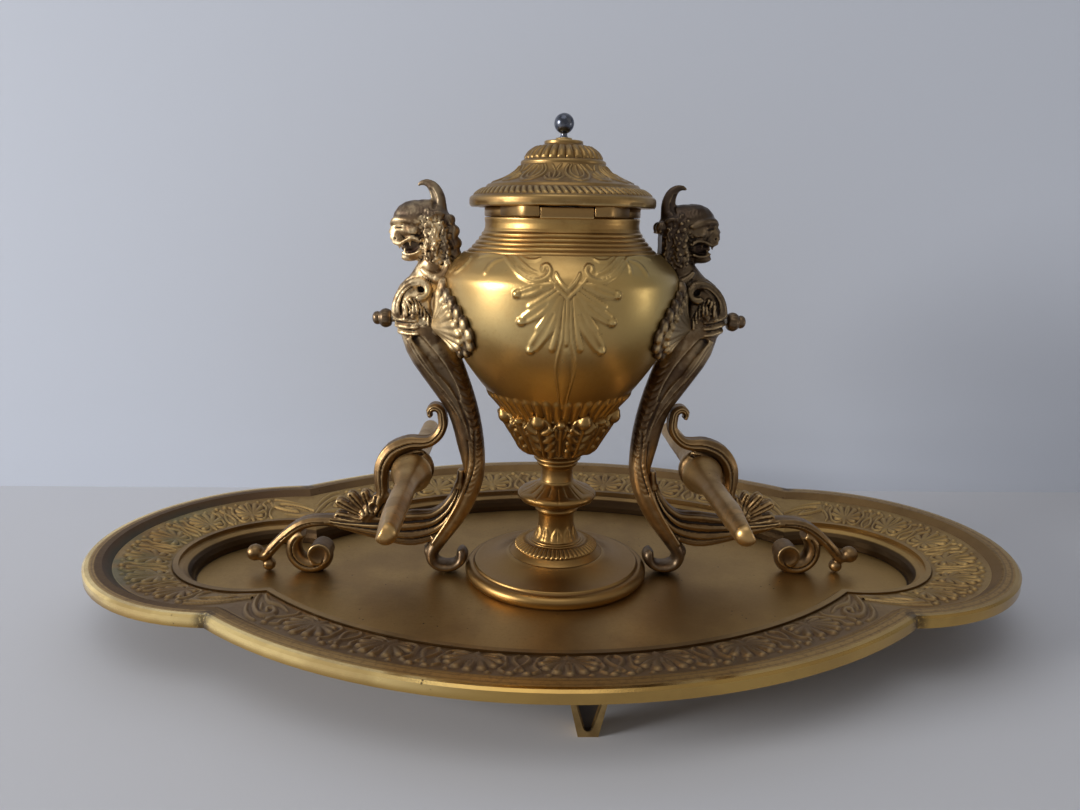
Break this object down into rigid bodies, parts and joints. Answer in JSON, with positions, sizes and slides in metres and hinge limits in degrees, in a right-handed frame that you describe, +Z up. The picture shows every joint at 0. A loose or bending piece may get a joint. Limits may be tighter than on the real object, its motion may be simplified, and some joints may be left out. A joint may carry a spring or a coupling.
{
  "type": "desk inkstand",
  "caption": "Gilt metal desk inkstand: four-lobed footed tray, central urn inkwell with front-hinged domed lid, and lion-headed scroll supports holding pen rests.",
  "frame": {"origin": "on the table, under the middle of the tray's bounding box", "axes": "+X along the length of the tray to the right, +Y to the back, +Z up; the hinge of the lid is at the front, towards -Y"},
  "size_m": [0.302, 0.184, 0.1583],
  "materials": {
    "gilt_tray": "satin, aged gilding with brown recesses",
    "gilt_urn": "satin gilt",
    "gilt_lid": "satin gilt, chased",
    "gilt_bar": "worn gilt",
    "dark_bronze": "brown patina, rubbed gold on the high points",
    "bronze_tail": "brown patina, rubbed gold on the high points",
    "dark_knob": "dark patina",
    "dark_steel": "polished, blue-black",
    "steel": "plain",
    "liner": "glossy glaze"
  },
  "bodies": {
    "stand": {"tray": "gilt_tray", "foot_front": "gilt_tray", "foot_back": "gilt_tray", "foot_left": "gilt_tray", "foot_right": "gilt_tray", "base_dome": "gilt_urn", "beaded_collar": "gilt_urn", "lower_stem": "gilt_urn", "knop": "gilt_urn", "upper_stem": "gilt_urn", "calyx": "gilt_urn", "bowl": "gilt_urn", "neck": "gilt_urn", "tie_rod": "steel", "tie_rod_washer": "steel", "tie_rod_nut": "steel", "bowl_nut": "steel", "griffin_left": "dark_bronze", "griffin_right": "dark_bronze", "tail_left": "bronze_tail", "tail_right": "bronze_tail", "pen_bar_left": "gilt_bar", "pen_bar_right": "gilt_bar", "stud_left": "steel", "stud_right": "steel", "stud_nuts": "steel", "breast_knob_left": "dark_knob", "breast_knob_right": "dark_knob", "griffin_screws": "steel", "tail_screws": "steel"},
    "lid": {"lid": "gilt_lid", "finial": "dark_steel", "finial_nut": "steel", "hinge_pin": "steel"},
    "liner": {"ink_liner": "liner"}
  },
  "joints": [
    {"name": "lid_hinge", "type": "hinge", "parent": "stand", "child": "lid", "pos_m": [0, -0.0246, 0.1286], "axis": [1, 0, 0], "range_deg": [0, 110]},
    {"name": "liner_lift", "type": "slide", "parent": "stand", "child": "liner", "axis": [0, 0, 1], "range_m": [0, 0.003]}
  ]
}
